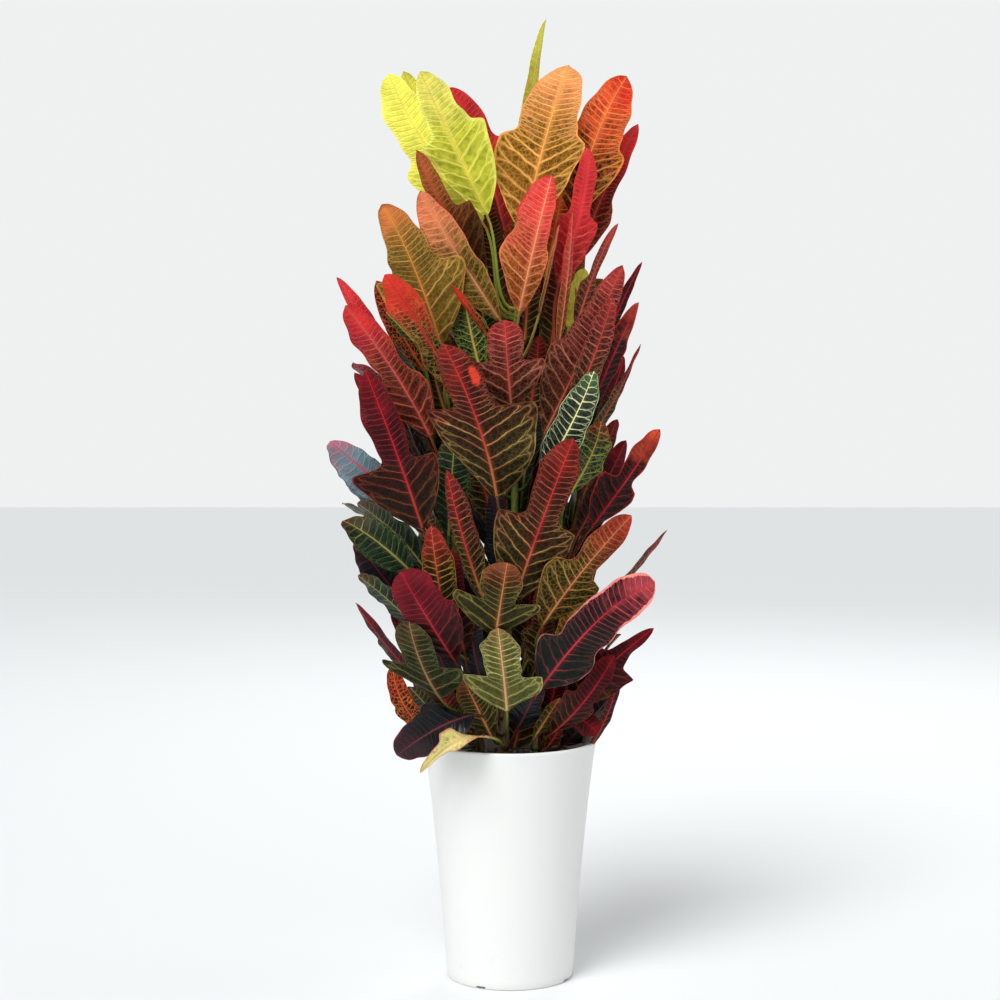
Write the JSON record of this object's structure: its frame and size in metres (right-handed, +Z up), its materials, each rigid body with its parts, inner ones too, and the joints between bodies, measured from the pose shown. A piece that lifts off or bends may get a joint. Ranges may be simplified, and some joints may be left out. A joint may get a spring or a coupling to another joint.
{
  "type": "potted croton plant",
  "caption": "Tall croton with upright lobed leaves in yellow, orange, crimson, maroon and green on three stems, in a tall flared white plastic pot.",
  "frame": {"origin": "middle of the pot's underside, on the surface it stands on", "axes": "+Z up along the pot's axis, +X to the right and -Y to the front, the side with the low yellow leaf over the rim"},
  "size_m": [0.4185, 0.3228, 1.203],
  "materials": {
    "pot_plastic": "gloss",
    "compost": "matte",
    "bark": "matte",
    "leaf_yellow": "satin",
    "leaf_orange": "satin",
    "leaf_scarlet": "gloss",
    "leaf_red": "satin",
    "leaf_pink": "satin",
    "leaf_salmon": "satin",
    "leaf_crimson": "satin",
    "leaf_maroon": "satin",
    "leaf_olive": "satin",
    "leaf_green": "gloss",
    "leaf_black": "gloss",
    "leaf_cream": "satin"
  },
  "bodies": {
    "root": {"pot": "pot_plastic", "soil": "compost", "stem_center": "bark", "stem_left": "bark", "stem_right": "bark", "leaf_top_yellow_front": "leaf_yellow", "leaf_top_yellow_back": "leaf_yellow", "leaf_top_red_back": "leaf_scarlet", "leaf_top_spire": "leaf_yellow", "leaf_top_orange": "leaf_orange", "leaf_top_right": "leaf_red", "leaf_right_pink_back": "leaf_pink", "leaf_right_scarlet": "leaf_scarlet", "leaf_front_pink": "leaf_pink", "leaf_salmon": "leaf_salmon", "leaf_maroon_top_left": "leaf_maroon", "leaf_left_olive": "leaf_orange", "leaf_far_left_red": "leaf_pink", "leaf_left_green_red": "leaf_green", "leaf_right_brown": "leaf_maroon", "leaf_right_big_maroon": "leaf_maroon", "leaf_right_narrow_tip": "leaf_crimson", "leaf_right_crimson": "leaf_crimson", "leaf_right_grey_tip": "leaf_maroon", "leaf_right_fine_veined": "leaf_crimson", "leaf_edge_pink": "leaf_pink", "leaf_edge_cream": "leaf_salmon", "leaf_center_small": "leaf_maroon", "leaf_center_left_big": "leaf_maroon", "leaf_left_big_maroon": "leaf_crimson", "leaf_left_glossy": "leaf_black", "leaf_left_dark_green": "leaf_green", "leaf_left_low_dark": "leaf_green", "leaf_left_crimson_diagonal": "leaf_crimson", "leaf_fishbone_orange": "leaf_orange", "leaf_dark_narrow": "leaf_maroon", "leaf_center_right_big": "leaf_maroon", "leaf_right_forked": "leaf_crimson", "leaf_right_yellow_veined": "leaf_green", "leaf_right_glossy_green": "leaf_green", "leaf_right_pink_margin": "leaf_black", "leaf_right_pink_strip": "leaf_olive", "leaf_right_edge_brown": "leaf_maroon", "leaf_low_right_maroon": "leaf_crimson", "leaf_low_left_green": "leaf_olive", "leaf_low_center_green": "leaf_olive", "leaf_low_left_slate": "leaf_black", "leaf_rim_yellow": "leaf_cream", "leaf_center_olive": "leaf_olive", "leaf_back_top": "leaf_orange", "leaf_back_top_left": "leaf_red", "leaf_back_top_right": "leaf_salmon", "leaf_back_upper": "leaf_maroon", "leaf_back_upper_right": "leaf_green", "leaf_back_left": "leaf_crimson", "leaf_back_middle": "leaf_green", "leaf_back_right": "leaf_maroon", "leaf_back_low_left": "leaf_olive", "leaf_back_low": "leaf_black", "leaf_back_low_right": "leaf_crimson"}
  },
  "joints": []
}
